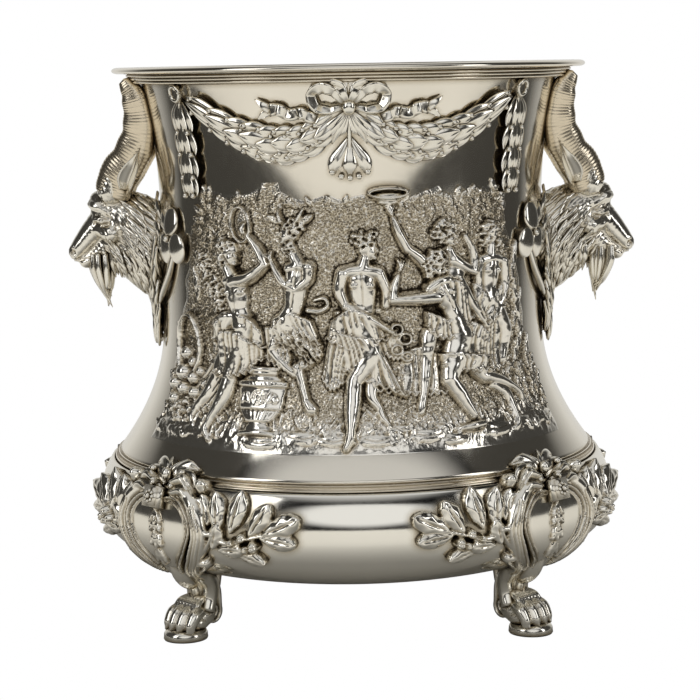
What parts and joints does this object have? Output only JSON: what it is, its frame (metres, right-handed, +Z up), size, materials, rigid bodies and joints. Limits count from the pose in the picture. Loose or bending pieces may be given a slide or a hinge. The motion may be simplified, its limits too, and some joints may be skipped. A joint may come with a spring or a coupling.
{
  "type": "champagne bucket",
  "caption": "Waisted silver champagne bucket on a bombe bowl, with paw feet, goat-head handles, garlands, a dancing-figure frieze and a lift-out liner under a loose rim collar.",
  "frame": {"origin": "on the standing surface, under the centre of the bucket", "axes": "+Z up along the bucket's axis; +X through the right goat head; the front frieze faces -Y"},
  "size_m": [0.2516, 0.226, 0.237],
  "materials": {
    "polished_silver": "mirror-polished silver, fine scratches",
    "chased_silver": "chased and matted silver, dark patina in the recesses",
    "moulding_silver": "polished silver with tan tarnish in the grooves",
    "fixing_silver": "turned silver, dull",
    "horn_silver": "cast silver with a warm tan tarnish",
    "cast_silver": "cast and chased silver, dark patina in the recesses",
    "liner_silver": "plain spun silver, satin inside"
  },
  "bodies": {
    "bucket": {"bucket_wall": "polished_silver", "mouth_moulding": "moulding_silver", "bowl_shell": "polished_silver", "bowl_moulding": "moulding_silver", "frieze_front": "chased_silver", "frieze_back": "chased_silver", "foot_studs": "fixing_silver", "foot_nuts": "fixing_silver", "handle_studs": "fixing_silver", "handle_nuts": "fixing_silver", "goat_head_right": "cast_silver", "goat_mane_right": "cast_silver", "goat_beard_right": "cast_silver", "horn_front_right": "horn_silver", "horn_rear_right": "horn_silver", "goat_head_left": "cast_silver", "goat_mane_left": "cast_silver", "goat_beard_left": "cast_silver", "horn_front_left": "horn_silver", "horn_rear_left": "horn_silver", "bow_front": "cast_silver", "bud_pendant_front": "cast_silver", "swag_left_front": "cast_silver", "swag_right_front": "cast_silver", "bow_back": "cast_silver", "bud_pendant_back": "cast_silver", "swag_left_back": "cast_silver", "swag_right_back": "cast_silver", "leaf_drop_1": "cast_silver", "leaf_drop_2": "cast_silver", "leaf_drop_3": "cast_silver", "leaf_drop_4": "cast_silver", "paw_1": "cast_silver", "leg_1": "cast_silver", "scroll_1": "cast_silver", "shield_1": "cast_silver", "rosette_1": "cast_silver", "leaf_spray_1": "cast_silver", "paw_2": "cast_silver", "leg_2": "cast_silver", "scroll_2": "cast_silver", "shield_2": "cast_silver", "rosette_2": "cast_silver", "leaf_spray_2": "cast_silver", "paw_3": "cast_silver", "leg_3": "cast_silver", "scroll_3": "cast_silver", "shield_3": "cast_silver", "rosette_3": "cast_silver", "leaf_spray_3": "cast_silver", "paw_4": "cast_silver", "leg_4": "cast_silver", "scroll_4": "cast_silver", "shield_4": "cast_silver", "rosette_4": "cast_silver", "leaf_spray_4": "cast_silver"},
    "liner": {"liner_can": "liner_silver"},
    "collar": {"rim_collar": "polished_silver"}
  },
  "joints": [
    {"name": "liner_lift", "type": "slide", "parent": "bucket", "child": "liner", "axis": [0, 0, 1], "range_m": [0, 0.2]},
    {"name": "collar_lift", "type": "slide", "parent": "liner", "child": "collar", "axis": [0, 0, 1], "range_m": [0, 0.03]}
  ]
}
